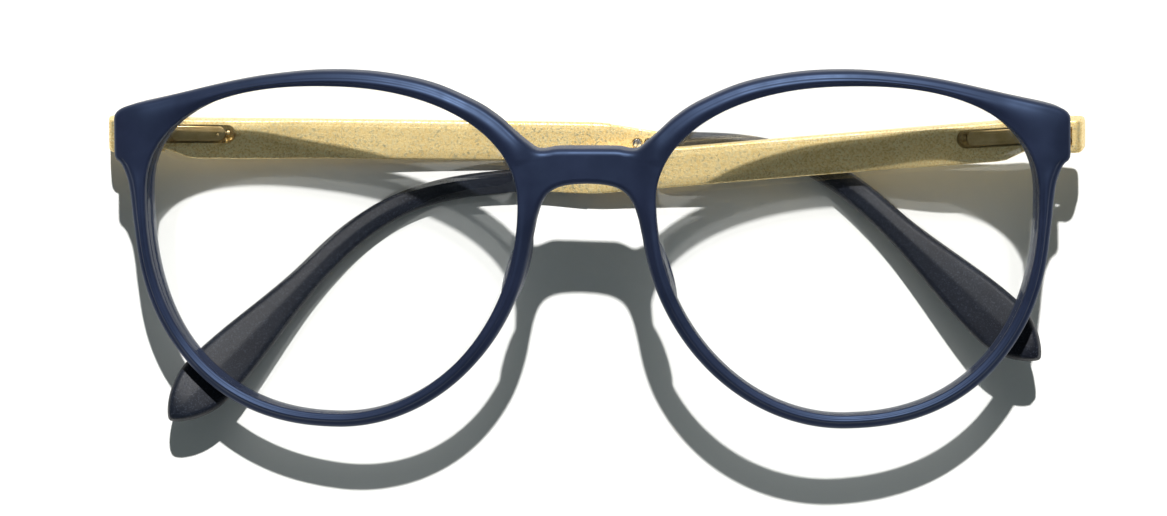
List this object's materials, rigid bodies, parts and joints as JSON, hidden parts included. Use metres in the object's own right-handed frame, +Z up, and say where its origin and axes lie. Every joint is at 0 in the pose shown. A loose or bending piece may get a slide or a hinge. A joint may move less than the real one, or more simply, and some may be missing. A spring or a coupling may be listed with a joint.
{
  "type": "full rim eyeglasses with spring hinges",
  "caption": "Folded round full-rim eyeglasses: acetate front with clear lenses, metal temple blades on spring hinges, curved plastic tips.",
  "frame": {"origin": "on the surface that the folded glasses lie on, under the middle of their overall box", "axes": "+X along the front towards the wearer's left endpiece, +Y to the front's top edge, +Z up, out of the lenses' outer faces"},
  "size_m": [0.1296, 0.0476, 0.0261],
  "materials": {
    "navy_acetate": "satin navy blue cellulose acetate",
    "clear_lens": "clear plastic demonstration lens",
    "gold_blade": "fine sandblasted gold-coloured metal",
    "gold_hardware": "satin gold-coloured metal",
    "steel": "bright turned steel",
    "dark_tip": "near-black satin acetate with a fine grain"
  },
  "bodies": {
    "front": {"front_frame": "navy_acetate", "left_lens": "clear_lens", "right_lens": "clear_lens", "left_nose_pad": "navy_acetate", "right_nose_pad": "navy_acetate", "left_hinge_bracket": "gold_hardware", "left_hinge_screw": "steel", "left_bracket_pin_1": "steel", "left_bracket_pin_2": "steel", "right_hinge_bracket": "gold_hardware", "right_hinge_screw": "steel", "right_bracket_pin_1": "steel", "right_bracket_pin_2": "steel"},
    "left_slider": {"left_hinge_slider": "gold_hardware", "left_hinge_spring": "steel"},
    "left_temple": {"left_temple_blade": "gold_blade", "left_temple_tip": "dark_tip", "left_spring_collar": "steel", "left_spring_cap": "gold_hardware", "left_tip_screw_1": "steel", "left_tip_screw_2": "steel"},
    "right_slider": {"right_hinge_slider": "gold_hardware", "right_hinge_spring": "steel"},
    "right_temple": {"right_temple_blade": "gold_blade", "right_temple_tip": "dark_tip", "right_spring_collar": "steel", "right_spring_cap": "gold_hardware", "right_tip_screw_1": "steel", "right_tip_screw_2": "steel"}
  },
  "joints": [
    {"name": "left_temple_hinge", "type": "hinge", "parent": "front", "child": "left_slider", "pos_m": [0.06029, 0.01484, 0.01216], "axis": [0, -0.989, -0.1478], "range_deg": [0, 88]},
    {"name": "left_spring_slide", "type": "slide", "parent": "left_slider", "child": "left_temple", "axis": [-0.9888, 0.0221, -0.1479], "range_m": [0, 0.0015], "stiffness_N_per_m": 1500, "springref_m": -0.002, "deforming": ["left_hinge_spring"]},
    {"name": "right_temple_hinge", "type": "hinge", "parent": "right_slider", "child": "front", "pos_m": [-0.06038, 0.01568, 0.00653], "axis": [0, -0.989, -0.1478], "range_deg": [0, 86]},
    {"name": "right_spring_slide", "type": "slide", "parent": "right_temple", "child": "right_slider", "axis": [-0.9956, -0.0138, 0.0922], "range_m": [0, 0.0015], "stiffness_N_per_m": 1500, "springref_m": -0.002, "deforming": ["right_hinge_spring"]}
  ],
  "couplings": [
    {"joint": "right_temple_hinge", "follows": "left_temple_hinge", "ratio": 0.97727}
  ]
}
